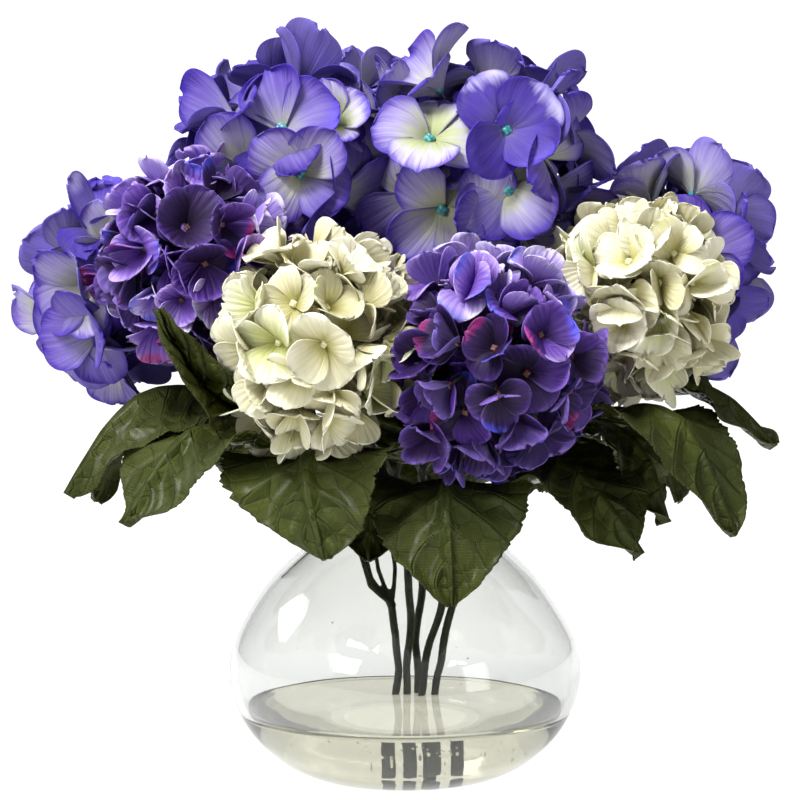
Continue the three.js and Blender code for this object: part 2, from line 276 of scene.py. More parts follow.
# For each colour of head: the colours along a petal from its claw to its tip, one line for each
# tone, what share of the florets has each tone, and the name and colours of the beads.
PETALS = {
    "petal_violet": {
        "tones": [
            [(0, "#6b6788"), (0.22, "#574b92"), (0.6, "#432f90"), (1, "#2a166a")],
            [(0, "#9aa080"), (0.2, "#8c88a0"), (0.42, "#7064a4"), (0.8, "#57439a"), (1, "#321d7c")],
            [(0, "#a0a678"), (0.28, "#a6a69a"), (0.5, "#938cb2"), (0.8, "#7566a8"), (1, "#4b3492")],
            [(0, "#989f66"), (0.34, "#aab08a"), (0.6, "#b0acbc"), (0.86, "#978cba"), (1, "#6a55a2")],
        ],
        "tone_shares": (0.36, 0.38, 0.18, 0.08),
        "bead": ("bead_teal", "#1f6f78", "#56b3b0"),
        "tips": ["#5a48b8", "#b4acd8"],
        "edge": "#38209a", "edge_share": 0.75, "under": "#9186ca",
        "ribs": 5, "relief": 0.00035,
    },
    "petal_purple": {
        "tones": [
            [(0, "#100220"), (0.4, "#1a0630"), (0.75, "#28104a"), (1, "#422376")],
            [(0, "#1c0638"), (0.4, "#32125e"), (0.8, "#44227a"), (1, "#6846a2")],
            [(0, "#39196a"), (0.35, "#583494"), (0.75, "#7353aa"), (1, "#ac93d4")],
            [(0, "#53358e"), (0.3, "#7c5eb2"), (0.7, "#9882c8"), (1, "#d8cff0")],
        ],
        "tone_shares": (0.26, 0.34, 0.28, 0.12),
        "bead": ("bead_brown", "#3a1a22", "#7b4742"),
        "tips": ["#4548c8", "#8f0f5c"],
        "edge": "#a48fd8", "edge_share": 0.14, "under": "#8c78c4",
        "ribs": 7, "relief": 0.0005,
    },
    "petal_cream": {
        "tones": [
            [(0, "#857e36"), (0.24, "#a6a05e"), (0.55, "#beb890"), (1, "#cbc7a8")],
            [(0, "#969042"), (0.24, "#b7b178"), (0.5, "#cdc8a4"), (1, "#dbd8be")],
            [(0, "#aca656"), (0.24, "#ccc794"), (0.46, "#dedaba"), (1, "#e9e6d2")],
            [(0, "#9ca04c"), (0.3, "#bec280"), (0.66, "#d3d5b0"), (1, "#e0e0cc")],
        ],
        "tone_shares": (0.14, 0.36, 0.38, 0.12),
        "bead": ("bead_ivory", "#d8d494", "#f2f0cc"),
        "tips": ["#e4dfca", "#c9c890"],
        "edge": "#e9e4d0", "edge_share": 0.4, "under": "#d2ccaa",
        "ribs": 7, "relief": 0.0004,
    },
}


def petal_material(name):
    """Dyed cloth: colour that runs out from the claw along veins, a darker or paler rim,
    tinted tips on some petals, and pressed ribs that fan out from the claw."""
    look = PETALS[name]
    g = Graph(name)
    across, along, column, row = g.atlas(PETAL_COLUMNS, PETAL_ROWS)
    side = 2 * across - 1
    seed = 7.3 * column + 3.1 * row
    narrowing = abs(2 * (along - WIDEST)) ** ROUNDNESS
    x = side * g.math("SQRT", g.math("MAXIMUM", 1 - narrowing, 0.1))
    fan = x / (along + 0.35)
    veins = g.noise(g.point(13 * fan, 0.9 * along, seed), 1.0, 3.0)
    threads = g.noise(g.point(48 * fan, 3 * along, seed), 1.0, 1.0)
    clouds = g.noise(g.point(x, along, seed), 2.4, 2.0)
    outward = 0.9 * along + 0.55 * x * x * along
    outward += 0.6 * (veins - 0.5) + 0.26 * (threads - 0.5) + 0.34 * (clouds - 0.5)
    colour = g.ramp(outward, look["tones"][0])
    for i, stops in enumerate(look["tones"][1:], 1):
        colour = g.mix(g.math("GREATER_THAN", row, i - 0.5), colour, g.ramp(outward, stops))
    tip = g.step(along + 0.22 * x + 0.3 * veins + 0.3 * clouds, 1.02, 1.3)
    for i, tint in enumerate(look["tips"], 1):
        tinted = 0.85 * tip * g.math("COMPARE", column, i, 0.5)
        colour = g.mix(tinted, colour, linear(tint))
    rim = g.step(g.math("MAXIMUM", abs(side), along), 0.82, 1.02)
    colour = g.mix(look["edge_share"] * rim, colour, linear(look["edge"]))
    under = g.math("COMPARE", column, UNDERSIDE_COLUMN, 0.5)
    colour = g.mix(0.3 * under, colour, linear(look["under"]))
    ribs = g.math("COSINE", math.pi * look["ribs"] * fan)
    g.set(
        Base_Color=colour,
        Roughness=0.2 * clouds + 0.5,
        Specular_IOR_Level=0.3,
        Normal=g.bump(0.3 * ribs * along + 0.9 * veins + 0.25 * threads, look["relief"]),
    )
    return g.material


def bead_material(name, dark, light):
    """A glossy moulded bead, darker at its crown, with painted shade in the grooves between its lobes and
    painted light on the lobes.
    """
    g = Graph(name)
    u, v = g.uv()
    lobes = g.math("COSINE", 8 * math.pi * u)
    crown = g.step(v, 0.8, 0.95)
    speckle = g.noise(g.point(9 * u, 6 * v), 1.0, 3.0)
    # The lobes term paints shade into the grooves between the lobes and light onto the lobes.
    colour = g.ramp(0.7 * speckle + 0.16 * lobes - 0.25 * crown, [(0.1, dark), (0.5, light)])
    relief = g.bump(0.5 * speckle - crown, 0.0003)
    g.set(Base_Color=colour, Roughness=0.32, Coat_Weight=0.25, Normal=relief)
    return g.material


# -------- other materials


def stalk_material(name, dark, light):
    """Thin moulded stalks: a grain along their length and dull patches, from their UVs."""
    g = Graph(name)
    u, v = g.uv()
    grain = g.noise(g.point(14 * u, 4 * v), 1.0, 3.0)
    colour = g.ramp(0.7 * grain + 0.3 * v, [(0.3, dark), (0.65, light)])
    g.set(Base_Color=colour, Roughness=0.3 * grain + 0.4, Normal=g.bump(grain, 0.0003))
    return g.material


def stem_material(name, dark, light):
    """Moulded plastic stems, with a fine lengthwise grain, nodules and dull patches."""
    g = Graph(name)
    place = g.object_place()
    stretched = g.node("ShaderNodeMapping", {"Vector": place, "Scale": (1, 1, 0.12)})
    grain = g.noise(stretched, 900, 3.0)
    blotches = g.noise(place, 90, 3.0)
    g.set(
        Base_Color=g.ramp(0.5 * grain + 0.5 * blotches, [(0.35, dark), (0.65, light)]),
        Roughness=0.25 * blotches + 0.42,
        Specular_IOR_Level=0.35,
        Normal=g.bump(0.6 * grain + 0.9 * blotches, 0.0006),
    )
    return g.material


LEAF_CELLS = (2, 1)  # the atlas of a leaf: its face and its underside, side by side
LEAF_VEINS = 6.5  # pairs of side veins along a blade
VEIN_SLOPE = 1.6
THREADS_ACROSS = 54
THREADS_ALONG = 72


def leaf_material():
    """Coated cloth: bare weave in patches, a pressed midrib and side veins, a waxy shine."""
    g = Graph("leaf")
    across, along, column, _ = g.atlas(*LEAF_CELLS)
    from_rib = abs(2 * across - 1)
    place = g.object_place()
    clouds = g.noise(place, 38, 4.0)
    fine = g.noise(place, 420, 3.0)
    patches = g.noise(place, 17, 1.0)
    midrib = 1 - g.step(from_rib, 0.0, 0.045)
    phase = LEAF_VEINS * along - VEIN_SLOPE * from_rib
    side_veins = g.step(abs(g.math("FRACT", phase + 8) - 0.5), 0.445, 0.5)
    veins = g.math("MAXIMUM", midrib, 0.8 * side_veins)
    wander = 4 * g.noise(place, 120, 2.0) + 3 * clouds
    warp = g.math("SINE", 2 * math.pi * THREADS_ACROSS * across + wander)
    weft = g.math("SINE", 2 * math.pi * THREADS_ALONG * along + wander)
    weave = 0.3 * g.math("MAXIMUM", warp, weft) + 0.6 * fine
    bare = g.step(0.16 * from_rib + 0.14 * along + patches, 0.7, 0.75)
    shade = 0.8 * clouds + 0.2 * fine
    colour = g.ramp(shade, [(0.32, "#0c1001"), (0.5, "#1c2102"), (0.68, "#353a06")])
    colour = g.mix(0.5 * veins, colour, linear("#12170a"))
    thread = g.ramp(weave, [(0.2, "#0c1002"), (0.42, "#1e2205"), (0.68, "#4a4e24")])
    colour = g.mix(0.8 * bare, colour, thread)
    under = g.math("COMPARE", column, 1, 0.5)
    colour = g.mix(0.5 * under, colour, linear("#384020"))
    cloth = (0.14 * bare + 0.006) * weave + 0.04 * fine - 0.8 * veins
    netting = g.math("MINIMUM", g.cells(place, 260), 0.08)
    puffs = g.math("MINIMUM", g.cells(place, 105), 0.3) ** 0.5
    dull = g.math("MAXIMUM", bare, under)
    g.set(
        Base_Color=colour,
        Roughness=0.4 * dull + 0.3 * clouds + 0.1,
        Specular_IOR_Level=0.35,
        Specular_Tint=(0.85, 0.95, 0.3, 1),
        Coat_Weight=0.14,
        Coat_Roughness=0.28,
        Normal=g.bump(cloth + 1.2 * netting + 1.5 * puffs, 0.0012),
    )
    return g.material


GLASS_DENSITY = 40  # how fast the wall darkens what is seen along it


def clear_graph(name, colour, roughness, bend, waves):
    """A clear solid, a little tinted, that bends light and has faint waves on its surface."""
    g = Graph(name)
    scale, height, strength = waves
    g.set(
        Base_Color=colour,
        Roughness=roughness,
        IOR=bend,
        Transmission_Weight=1.0,
        Normal=g.bump(g.noise(g.object_place(), scale, 1.0), height, strength),
    )
    return g


def glass_material():
    g = clear_graph("glass", (0.9, 0.908, 0.893, 1), 0.0, 1.5, (22, 0.0012, 0.06))
    depth = g.node("ShaderNodeVolumeAbsorption", {"Color": (0.5, 0.52, 0.5, 1), "Density": GLASS_DENSITY})
    g.put(g.tree.nodes["Material Output"].inputs["Volume"], depth)
    return g.material


def resin_material():
    return clear_graph("resin_water", (0.82, 0.79, 0.64, 1), 0.01, 1.42, (30, 0.0006, 0.1)).material


def stage_material():
    g = Graph("stage")
    place = g.object_place()
    near = g.node("ShaderNodeVectorMath", {0: place}, "Value", operation="LENGTH")
    # The floor glows evenly, and more near the vase's axis: that extra glow is painted light in the
    # vase's shadow.
    g.set(
        Base_Color=g.ramp(g.noise(place, 3, 2.0), [(0.3, "#8a8a8a"), (0.7, "#8e8e8e")]),
        Roughness=0.6,
        Specular_IOR_Level=0.2,
        Emission_Color=(1, 1, 1, 1),
        Emission_Strength=PAINTED_LIGHT_UNDER_VASE * g.step(near, *PAINTED_LIGHT_UNDER_VASE_REACH) + STAGE_GLOW,
    )
    return g.material


MATERIALS = {
    **{name: petal_material(name) for name in PETALS},
    **{look["bead"][0]: bead_material(*look["bead"]) for look in PETALS.values()},
    "stalk": stalk_material("stalk", "#222c16", "#4c5a2c"),
    "stem": stem_material("stem", "#14180f", "#343b26"),
    "leaf": leaf_material(),
    "glass": glass_material(),
    "resin_water": resin_material(),
}


# -------- mesh helpers


def add_mesh(name, points, quads, material):
    """A new smooth mesh object in the scene."""
    mesh = bpy.data.meshes.new(name)
    mesh.from_pydata(points.tolist(), [], quads.tolist())
    mesh.polygons.foreach_set("use_smooth", [True] * len(mesh.polygons))
    mesh.materials.append(material)
    return add_object(name, mesh)


def corners(mesh):
    """A mesh's vertices as an array (count, 3)."""
    co = np.zeros(len(mesh.vertices) * 3)
    mesh.vertices.foreach_get("co", co)
    return co.reshape(-1, 3)


def unit(vectors):
    return vectors / np.maximum(np.linalg.norm(vectors, axis=-1, keepdims=True), 1e-12)


def finish_piece(obj, slot, replaced=()):
    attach(obj, "root")
    if replaced:
        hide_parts(*replaced)


class Parts:
    """Gathers the quads of many small shells into one mesh, with a UV for each corner."""

    def __init__(self):
        self.points, self.quads, self.uvs, self.count = [], [], [], 0

    def add(self, points, quads, uvs):
        self.points.append(points)
        self.quads.append(quads + self.count)
        self.uvs.append(uvs)
        self.count += len(points)

    def piece(self, name, material, slot, replaced=()):
        obj = add_mesh(name, np.concatenate(self.points), np.concatenate(self.quads), material)
        layer = obj.data.uv_layers.new(name=UV_NAME)
        layer.data.foreach_set("uv", np.concatenate(self.uvs).astype(np.float32).ravel())
        finish_piece(obj, slot, replaced)


def grid_quads(rows, columns):
    index = np.arange(rows * columns).reshape(rows, columns)
    ends = (index[:-1, :-1], index[:-1, 1:], index[1:, 1:], index[1:, :-1])
    return np.stack([end.ravel() for end in ends], axis=1)


def grid_normals(surface):
    return unit(np.cross(np.gradient(surface, axis=1), np.gradient(surface, axis=0)))


def shell(surface, above, below, uv_above, uv_below):
    """A closed shell that reaches above and below a grid of points (rows, columns, 3)."""
    rows, columns = surface.shape[:2]
    normals = grid_normals(surface)
    top = grid_quads(rows, columns)
    count = rows * columns
    index = np.arange(count).reshape(rows, columns)
    loop = np.concatenate([index[0, :], index[1:, -1], index[-1, -2::-1], index[-2:0:-1, 0]])
    after = np.roll(loop, -1)
    rim = np.stack([after, loop, loop + count, after + count], axis=1)
    flat_above, flat_below = uv_above.reshape(-1, 2), uv_below.reshape(-1, 2)
    uvs = np.concatenate([flat_above[top], flat_below[top[:, ::-1]], flat_above[rim % count]])
    points = np.concatenate([surface + normals * above, surface - normals * below])
    return points.reshape(-1, 3), np.concatenate([top, top[:, ::-1] + count, rim]), uvs


def cell_uv(across, along, column, row, columns, rows):
    """UVs of a grid whose points lie across and along from 0 to 1 in one atlas cell."""
    inner = 1 - 2 * CELL_MARGIN
    x = (column + CELL_MARGIN + inner * across) / columns
    y = (row + CELL_MARGIN + inner * along) / rows
    return np.stack([x, y], axis=2)


def ring_grid(points):
    """Points (rows, sides, 3) that close round each row, as quads with UVs for each corner."""
    rows, sides = points.shape[:2]
    index = np.arange(rows * sides).reshape(rows, sides)
    after = np.roll(index, -1, axis=1)
    quads = np.stack([index[:-1], after[:-1], after[1:], index[1:]], axis=2).reshape(-1, 4)
    row, side = np.meshgrid(np.arange(rows - 1), np.arange(sides), indexing="ij")
    u = np.stack([side, side + 1, side + 1, side], axis=2) / sides
    v = np.stack([row, row, row + 1, row + 1], axis=2) / (rows - 1)
    return points.reshape(-1, 3), quads, np.stack([u, v], axis=3).reshape(-1, 4, 2)


def tube(path, radii, sides):
    """A tube along a line of points."""
    path = np.asarray(path, float)
    tangents = unit(np.gradient(path, axis=0))
    first = unit(np.cross(tangents, (0.31, 0.77, 0.55)))
    second = np.cross(tangents, first)
    turn = np.arange(sides) * 2 * math.pi / sides
    ring = np.cos(turn)[None, :, None] * first[:, None] + np.sin(turn)[None, :, None] * second[:, None]
    return ring_grid(path[:, None] + ring * np.asarray(radii)[:, None, None])


def ball(middle, radius, lobes, outward, columns=12, rows=8):
    """A round bead whose sides swell into lobes, with its poles along outward."""
    around = np.linspace(0, 2 * math.pi, columns, endpoint=False)
    polar = np.linspace(math.pi - 0.04, 0.04, rows)
    a, p = np.meshgrid(around, polar)
    swell = radius * (1 + 0.13 * np.cos(lobes * a) * np.sin(p))
    level = swell * np.sin(p)
    local = np.stack([level * np.cos(a), level * np.sin(a), swell * np.cos(p)], axis=2)
    matrix = np.array(UP.rotation_difference(outward).to_matrix())
    return ring_grid(local @ matrix.T + np.array(middle))


# -------- flower heads

# Each kind of floret, in four lines: the size of a petal and its grid of points; how steeply
# petals stand up and how they hollow and roll; how they ruffle and curl, and the floret's bead
# and tilt; and how many florets a head has, out to what angle, how deep and how far apart.
KINDS = {
    "small": {
        "length": 16 * MM, "width": 17.5 * MM, "thickness": 0.3 * MM, "grid": (12, 11),
        "rise": (0.35, 1.1), "unevenness": 0.24, "hollow": 0.34, "roll": 0.18,
        "ruffle": 0.05, "curl": (-0.5, 1.4), "bead": 1.55 * MM, "tilt": 0.34,
        "count": 50, "reach": 2.35, "inset": 8 * MM, "apart": 10.5 * MM,
    },
    "large": {
        "length": 25.5 * MM, "width": 24.5 * MM, "thickness": 0.32 * MM, "grid": (17, 15),
        "rise": (0.1, 0.8), "unevenness": 0.3, "hollow": 0.34, "roll": 0.14,
        "ruffle": 0.035, "curl": (-0.3, 1.3), "bead": 2.2 * MM, "tilt": 0.32,
        "count": 32, "reach": 2.3, "inset": 12 * MM, "apart": 15.5 * MM,
    },
}
KINDS["medium"] = KINDS["small"] | {"length": 17 * MM, "width": 18 * MM, "inset": 8.5 * MM}
# Florets deep in each head, in the deepest tone as painted shade, which close the gaps between the outer
# ones.
FILLING = {"count": 14, "depths": (0.35, 0.66), "reach": 2.7, "size": 0.9}
FEATURED_DEPTHS = (0.98, 1.04)
OUTER_DEPTHS = (0.82, 1.03)
PASSES = 4  # times the outer florets are spread over a head, to find room for more
TRIES = 9  # places tried for each floret
NEAR = 2.6  # florets further apart than this many petal lengths can't touch
INSIDE_ANOTHER = 0.74  # a floret nearer than this share of another head's size is left out
STALK_RADIUS = 0.55 * MM
STALK_SAG = 1.2 * MM
STALK_POINTS = 6
STALK_SIDES = 6
HUB_RADIUS = 5 * MM

# The kind of floret and the heads of each colour, in the order that they are built.
COLOURS = {
    "cream": ("medium", ("left", "right", "back", "back_right")),
    "purple": ("small", ("left", "right", "back_left")),
    "violet": ("large", ("left", "right", "top_left", "top_right", "top_back", "back")),
}
HEADS = {
    f"head_{colour}_{place}": (kind, "petal_" + colour)
    for colour, (kind, places) in COLOURS.items()
    for place in places
}
# The CAD heads leave out florets that would touch a neighbour. Here such a head gets them
# back: how far its middle moves and how much its half-size grows, in mm.
FULLER = {
    "head_purple_right": ((-6, 0, -1), (3, 0, -1)),
    "head_cream_right": ((-5, 0, -2), (0, 0, -2)),
    "head_violet_top_right": ((-6, 1, -9), (-2, 0, 2)),
    "head_violet_top_left": ((6, -3, -8), (0, 0, 2)),
    "head_violet_top_back": ((1, -3, -4), (0, 0, 3)),
    "head_violet_left": ((1, 0, 0), (-3, 0, -2)),
    "head_violet_right": ((-12, -6, -5), (-1, 0, 1)),
    "head_cream_back": ((4, 0, 0), (3, 0, 0)),
    "head_cream_back_right": ((-4, 0, 0), (4, 0, 0)),
}

# Florets that set a head's look: where on the head, the angle in degrees from upright to
# one petal, the tone from 0 for deep to 3 for light, and the size.
FEATURED = {
    "head_violet_top_right": [
        ((-0.56, -0.79, 0.25), -8, 2.3, 1.08),
        ((0.62, -0.75, 0.1), 30, 2.0, 1.05),
        ((0.3, -0.9, -0.3), 48, 1.6, 0.95),
        ((-0.42, -0.8, -0.5), 40, 2.0, 0.95),
        ((0.02, -0.85, -0.55), 5, 1.4, 0.85),
        ((0.5, -0.5, -0.8), 20, 3.0, 0.75),
        ((-0.45, -0.35, 0.85), 0, 2.2, 1.05),
        ((0.45, -0.55, 0.6), 35, 0.8, 1.0),
        ((0.95, -0.1, 0.35), 45, 1.0, 1.0),
    ],
    "head_violet_top_left": [
        ((0.5, -0.75, -0.45), 28, 0.2, 1.1),
        ((0.88, -0.5, -0.05), 0, 1.3, 0.95),
        ((0.45, -0.75, 0.5), 20, 2.8, 0.7),
        ((-0.15, -0.85, 0.4), 22, 0.9, 1.0),
        ((-0.62, -0.75, -0.1), 30, 1.0, 1.05),
        ((0.05, -0.95, -0.15), 48, 1.5, 0.95),
        ((0.0, -0.3, 0.95), 0, 0.8, 1.0),
        ((0.72, -0.3, 0.7), 10, 0.7, 1.05),
        ((0.95, 0.1, 0.45), 0, 2.6, 0.95),
    ],
    "head_violet_top_back": [
        ((0.05, -0.7, 0.75), 20, 1.0, 1.05),
        ((-0.35, -0.4, 0.85), 40, 2.8, 1.0),
    ],
    "head_violet_left": [
        ((-0.3, -0.9, 0.2), 40, 2.0, 1.0),
        ((0.4, -0.7, -0.6), 0, 2.6, 0.85),
        ((-0.6, -0.5, -0.65), 30, 0.9, 0.95),
        ((0.1, -0.7, 0.75), 10, 2.8, 0.85),
    ],
    "head_violet_right": [
        ((-0.55, -0.6, 0.7), 12, 2.0, 0.95),
        ((0.3, -0.6, 0.75), 40, 2.6, 0.85),
        ((0.3, -0.9, 0.0), 30, 0.9, 1.0),
        ((0.85, -0.5, 0.15), 45, 0.5, 0.95),
        ((0.85, -0.4, -0.5), 20, 0.5, 0.95),
        ((-0.2, -0.6, -0.9), 15, 3.0, 0.8),
    ],
}


def floret_turn(outward):
    """The turn that points +Z outward and keeps +Y as near upright as it can be."""
    upright = UP if abs(outward.z) < 0.96 else Vector((0, 1, 0))
    x = upright.cross(outward).normalized()
    y = outward.cross(x)
    return np.array((x, y, outward)).T


def petal_surface(kind, rise, rng):
    """One petal as a grid of points: its claw at the origin, +Y outwards, +Z up."""
    rows, columns = kind["grid"]
    steps = 1 - (1 - np.linspace(0, 0.97, rows)) ** 1.4
    sides = np.sin(np.linspace(-1, 1, columns) * math.pi / 2)
    along, across = np.meshgrid(steps, sides, indexing="ij")
    length = kind["length"] * rng.uniform(0.9, 1.1)
    width = kind["width"] * rng.uniform(0.9, 1.1)
    past = np.where(along < WIDEST, (WIDEST - along) / BELOW_WIDEST, (along - WIDEST) / ABOVE_WIDEST)
    claw = 0.3 + 0.7 * np.clip(along / 0.4, 0, 1) ** 0.8
    half = width / 2 * claw * np.sqrt(np.maximum(1 - past**ROUNDNESS, 0))
    x = across * half
    curl = rng.uniform(*kind["curl"])
    bend = rise + 0.25 - (curl + 0.5) * steps
    stretch = np.diff(steps, prepend=0) * length
    y = np.cumsum(np.cos(bend) * stretch)[:, None] - 0.04 * length * across**2 * along
    z = np.cumsum(np.sin(bend) * stretch)[:, None]
    hollow = kind["hollow"] * rng.uniform(-0.3, 1.6) * across**2 * half * (1 - 0.35 * along)
    shift, waves = rng.uniform(0, 2 * math.pi), rng.uniform(0.8, 2.0)
    edge = np.maximum(np.abs(across), along) ** 3
    ruffle = kind["ruffle"] * length * edge * np.sin(across * math.pi * waves + shift)
    ruffle += 0.4 * kind["ruffle"] * length * edge * np.cos(across * math.pi * 4.3 + along * 5 + shift)
    twist = rng.normal(0, 0.16) * x * along
    crease = -0.03 * length * np.exp(-((across / 0.16) ** 2)) * (1 - along)
    lateral = rng.normal(0, 0.05) * length * along**2
    surface = np.stack([x + lateral, y + 0 * x, z + hollow + ruffle + twist + crease], axis=2)
    surface[..., 2] += kind["roll"] * x
    return surface, (across + 1) / 2, along


def floret_petals(kind, place, outward, spin, size, rng):
    """Four overlapping petals round place, facing outward: their points and petal places."""
    facing = floret_turn(outward)
    openness = rng.uniform(*kind["rise"])
    petals = []
    for i in range(4):
        surface, across, along = petal_surface(kind, openness + rng.normal(0, kind["unevenness"]), rng)
        angle = spin + i * math.pi / 2 + rng.normal(0, 0.09)
        turn = facing @ np.array(Quaternion(UP, angle).to_matrix())
        petals.append(((surface * size) @ turn.T + np.array(place), across, along))
    return petals


def coarse_tree(petals):
    """A coarse copy of a floret's petals, to find what they cut through."""
    points, polygons = [], []
    for surface, _, _ in petals:
        grid = surface[::2, ::2]
        polygons += (grid_quads(*grid.shape[:2]) + len(points)).tolist()
        points += grid.reshape(-1, 3).tolist()
    return BVHTree.FromPolygons(points, polygons)


def settle_floret(kind, shape, direction, depths, spin, size, placed, rng):
    """The least entangled of a few tries at a floret: its place, facing, petals and tree."""
    middle, half = shape
    best, fewest = None, math.inf
    for _ in range(TRIES):
        place = middle + direction * half * rng.uniform(*depths)
        outward = (direction + Vector(rng.normal(0, kind["tilt"], 3))).normalized()
        turned_by = rng.uniform(0, 2 * math.pi) if spin is None else math.radians(spin)
        petals = floret_petals(kind, place, outward, turned_by, size, rng)
        tree = coarse_tree(petals)
        near = (other for at, other in placed if (at - place).length < NEAR * kind["length"])
        cuts = sum(len(tree.overlap(other)) for other in near)
        if cuts < fewest:
            best, fewest = (place, outward, petals, tree), cuts
    return best


def add_petals(parts, kind, tone, petals, rng):
    half = kind["thickness"] / 2
    for surface, across, along in petals:
        row = int(np.clip(round(tone + rng.normal(0, 0.4)), 0, PETAL_ROWS - 1))
        column = rng.choice(UNDERSIDE_COLUMN, p=(0.72, 0.16, 0.12))
        above = cell_uv(across, along, column, row, PETAL_COLUMNS, PETAL_ROWS)
        below = cell_uv(across, along, UNDERSIDE_COLUMN, row, PETAL_COLUMNS, PETAL_ROWS)
        parts.add(*shell(surface, half, half, above, below))


def head_shape(node, kind):
    """Middle and half-size of the surface that a head's florets sit on."""
    low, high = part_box(node)
    shift, growth = FULLER.get(node, ((0, 0, 0), (0, 0, 0)))
    inset = Vector((1, 1, 1)) * kind["inset"]
    return (low + high) / 2 + Vector(shift) * MM, (high - low) / 2 + Vector(growth) * MM - inset


def spread_over_cap(count, reach, facing, start):
    """Directions spread evenly round facing, out to the angle reach from it."""
    turn = UP.rotation_difference(facing)
    for i in range(count):
        height = 1 - (1 - math.cos(reach)) * (i + 0.4) / count
        level = math.sqrt(1 - height * height)
        around = i * GOLDEN_ANGLE + start
        yield turn @ Vector((level * math.cos(around), level * math.sin(around), height))


def tone_of(node, direction, rng):
    """How light a floret is, from 0 to 3. The right purple head is lavender on top and dark below."""
    if node == "head_purple_right":
        return 3 * min(1, max(0, 1.5 * direction.z + 0.45 * direction.x - 0.3))
    return rng.choice(PETAL_ROWS, p=PETALS[HEADS[node][1]]["tone_shares"])


def add_stalk(parts, start, end, rng):
    sag = Vector(rng.normal(0, STALK_SAG, 3))
    middle = start.lerp(end, 0.55) + sag
    steps = np.linspace(0, 1, STALK_POINTS)
    line = [start.lerp(middle, t).lerp(middle.lerp(end, t), t) for t in steps]
    radii = np.linspace(1.2, 0.9, STALK_POINTS) * STALK_RADIUS
    parts.add(*tube([tuple(p) for p in line], radii, STALK_SIDES))


def wanted_florets(node, shapes, rng, seed):
    """Where each floret of a head would go, outer ones first: its direction, depths, spin, tone,
    size and distance from the others."""
    kind = KINDS[HEADS[node][0]]
    facing = (shapes[node][0] - BOUQUET_HEART).normalized()
    for direction, spin, tone, size in FEATURED.get(node, []):
        yield Vector(direction).normalized(), FEATURED_DEPTHS, spin, tone, size, 0
    for turn in range(PASSES):
        for direction in spread_over_cap(kind["count"], kind["reach"], facing, seed + turn):
            size = rng.uniform(0.84, 1.06)
            yield direction, OUTER_DEPTHS, None, tone_of(node, direction, rng), size, kind["apart"]
    # The filling florets take tone 0, the deepest: painted shade inside the head.
    for direction in spread_over_cap(FILLING["count"], FILLING["reach"], facing, seed):
        yield direction, FILLING["depths"], None, 0, FILLING["size"], 0.5 * kind["apart"]


def is_free(place, apart, node, shapes, placed):
    """Whether a floret here keeps off the others and out of the neighbouring heads."""
    if any((at - place).length < apart for at, _ in placed):
        return False
    for name, (middle, half) in shapes.items():
        share = Vector((place - middle)[i] / half[i] for i in range(3)).length
        if name != node and share < INSIDE_ANOTHER:
            return False
    return True


def build_head(node, shapes, placed, seed):
    kind_name, petal = HEADS[node]
    kind = KINDS[kind_name]
    middle, half = shapes[node]
    rng = np.random.default_rng(seed)
    petals, beads, stalks = Parts(), Parts(), Parts()
    for direction, depths, spin, tone, size, apart in wanted_florets(node, shapes, rng, seed):
        if not is_free(middle + direction * half * max(depths), apart, node, shapes, placed):
            continue
        floret = settle_floret(kind, shapes[node], direction, depths, spin, size, placed, rng)
        place, outward, surfaces, tree = floret
        placed.append((place, tree))
        add_petals(petals, kind, tone, surfaces, rng)
        beads.add(*ball(place + outward * kind["bead"] * 0.8, kind["bead"], 4, outward))
        add_stalk(stalks, middle, place - outward * 0.4 * MM, rng)
    stalks.add(*ball(middle, HUB_RADIUS, 5, UP))
    name = node.removeprefix("head_")
    petals.piece("petals_" + name, MATERIALS[petal], petal, [node])
    beads.piece("beads_" + name, MATERIALS[PETALS[petal]["bead"][0]], petal)
    stalks.piece("stalks_" + name, MATERIALS["stalk"], "stem")


def build_heads():
    shapes = {node: head_shape(node, KINDS[kind]) for node, (kind, _) in HEADS.items()}
    placed = []
    for seed, node in enumerate(HEADS):
        build_head(node, shapes, placed, seed + 11)


# -------- leaves

LEAF_ROWS = 110
LEAF_COLUMNS = 43
LEAF_THICKNESS = 0.45 * MM
PETIOLE_WIDTH = 3.4 * MM
PETIOLE_THICKNESS = 2.2 * MM
BLADE_MARK = 4 * MM  # a row of the CAD plate wider than this is part of its blade
RIB_DEPTH = 0.9 * MM  # how far the midrib stands out underneath
RIB_GROOVE = 1.2 * MM
QUILT_HEIGHT = 2.6 * MM  # how far the blade swells between its side veins
SLOW_WAVE = 3.2 * MM
QUICK_WAVE = 0.9 * MM
DROOP = 6.5  # fall towards the edges, over the distance squared, per metre
LEAF_GROWTH = 1.32  # width of the cloth blade against its CAD plate
LEAF_EXTENSION = 0.07  # how far it reaches past the plate's tip, against its length
TOOTH = 0.05  # height of the teeth, scallops and lobes against half of the blade's width
SCALLOP = 0.035
LOBE = 0.05
SCALLOPS = 11
LEAF_FOLD = 0.17  # slope of each side where a leaf folds along its midrib
FOLDED_LEAVES = {"leaf_left_upright": 1.5, "leaf_far_left": 0.6}


def merged_points(node):
    """A CAD node's distinct corners, and which of them share an edge."""
    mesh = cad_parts[node].data
    points, where = np.unique(np.round(corners(mesh), 6), axis=0, return_inverse=True)
    where = where.ravel()
    neighbours = [set() for _ in points]
    for a, b in (e.vertices for e in mesh.edges):
        neighbours[where[a]].add(where[b])
        neighbours[where[b]].add(where[a])
    return points, neighbours


